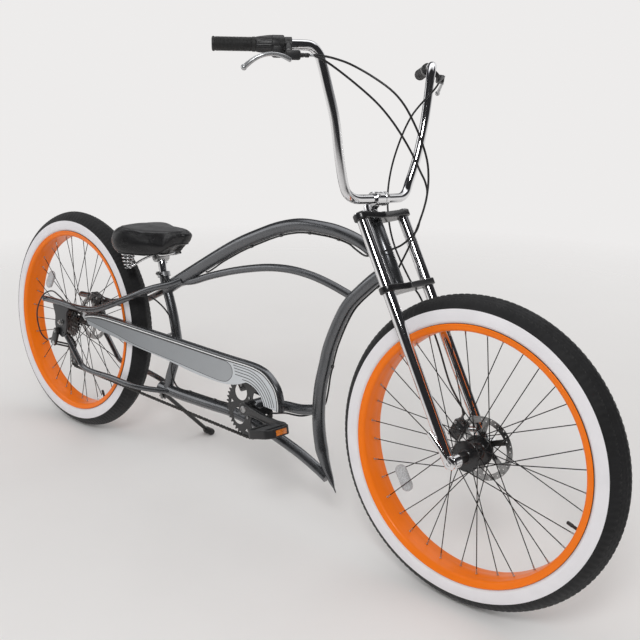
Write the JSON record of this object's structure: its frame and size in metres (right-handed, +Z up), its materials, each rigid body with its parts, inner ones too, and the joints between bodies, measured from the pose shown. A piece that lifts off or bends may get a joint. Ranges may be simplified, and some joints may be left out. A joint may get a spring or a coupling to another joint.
{
  "type": "chopper bicycle",
  "caption": "Stretched chopper bicycle with a curved tube frame, tall handlebar, wide whitewall tyres, long chain guard and side stand.",
  "frame": {"origin": "on the ground, at the middle of the box round the parked bicycle", "axes": "+X forward along the wheelbase, +Y to the rider's left, +Z up; the bicycle leans 5.84 degrees to its left on its side stand"},
  "size_m": [2.394, 0.8206, 1.3343],
  "materials": {
    "graphite_paint": "satin metallic",
    "silver_paint": "satin metallic",
    "orange_paint": "gloss",
    "black_paint": "satin",
    "chrome": "polished",
    "steel": "brushed",
    "tyre_rubber": "matte with a white sidewall band",
    "grip_rubber": "matte",
    "black_plastic": "matte",
    "saddle_vinyl": "smooth vinyl cover"
  },
  "bodies": {
    "frame": {"head_tube": "graphite_paint", "top_tube": "graphite_paint", "second_tube": "graphite_paint", "down_tube": "graphite_paint", "seat_tube": "graphite_paint", "lower_tube": "graphite_paint", "bottom_bracket": "graphite_paint", "link_tube_front": "graphite_paint", "link_tube_rear": "graphite_paint", "upper_stay_left": "graphite_paint", "upper_stay_right": "graphite_paint", "lower_stay_left": "graphite_paint", "lower_stay_right": "graphite_paint", "dropout_left": "graphite_paint", "dropout_right": "graphite_paint", "cup_left": "steel", "cup_right": "steel", "seatpost": "chrome", "seat_collar": "black_paint", "saddle": "saddle_vinyl", "saddle_carrier": "chrome", "chain_guard": "silver_paint", "chain": "steel", "derailleur": "black_paint", "rear_axle": "steel", "stand_bracket": "black_paint", "rear_caliper": "black_paint", "cable_rear_brake": "black_plastic", "cable_shift": "black_plastic"},
    "steering": {"steerer": "steel", "upper_crown": "black_paint", "lower_crown": "black_paint", "fork_leg_left": "chrome", "fork_leg_right": "chrome", "front_axle": "steel", "stem": "chrome", "handlebar": "chrome", "grip_left": "grip_rubber", "grip_right": "grip_rubber", "twist_shifter": "black_plastic", "brake_lever_left": "black_plastic", "brake_lever_right": "black_plastic", "front_caliper": "black_paint", "cable_front_brake": "black_plastic"},
    "front_wheel": {"front_hub": "black_paint", "front_rim": "orange_paint", "front_rotor": "steel", "front_tyre": "tyre_rubber"},
    "rear_wheel": {"rear_hub": "black_paint", "rear_rim": "orange_paint", "rear_rotor": "steel", "rear_tyre": "tyre_rubber", "cassette": "black_paint"},
    "crank": {"crank_left": "black_paint", "crank_right": "black_paint", "crank_spindle": "steel", "chainring": "black_paint"},
    "pedal_left": {"pedal_left": "black_plastic"},
    "pedal_right": {"pedal_right": "black_plastic"},
    "side_stand": {"side_stand": "black_paint"}
  },
  "joints": [
    {"name": "steering", "type": "hinge", "parent": "frame", "child": "steering", "pos_m": [0.5248, -0.04957, 0.79194], "axis": [-0.5075, 0.0877, 0.8572], "range_deg": [-50, 50], "deforming": ["cable_rear_brake", "cable_shift"]},
    {"name": "front_wheel_spin", "type": "hinge", "parent": "steering", "child": "front_wheel", "pos_m": [0.812, -0.0914, 0.38295], "axis": [0, 0.9948, -0.1018], "continuous": true},
    {"name": "rear_wheel_spin", "type": "hinge", "parent": "frame", "child": "rear_wheel", "pos_m": [-0.812, -0.0914, 0.38295], "axis": [0, 0.9948, -0.1018], "continuous": true},
    {"name": "crank_spin", "type": "hinge", "parent": "frame", "child": "crank", "pos_m": [0.10497, -0.09852, 0.31333], "axis": [0, 0.9948, -0.1018], "continuous": true},
    {"name": "pedal_left_spin", "type": "hinge", "parent": "crank", "child": "pedal_left", "pos_m": [-0.06503, 0.04274, 0.29888], "axis": [0, 0.9948, -0.1018], "continuous": true},
    {"name": "pedal_right_spin", "type": "hinge", "parent": "crank", "child": "pedal_right", "pos_m": [0.27497, -0.23978, 0.32778], "axis": [0, 0.9948, -0.1018], "continuous": true},
    {"name": "side_stand_fold", "type": "hinge", "parent": "frame", "child": "side_stand", "pos_m": [-0.397, -0.05997, 0.19879], "axis": [-0.0681, 0.7459, 0.6626], "range_deg": [0, 80]}
  ]
}
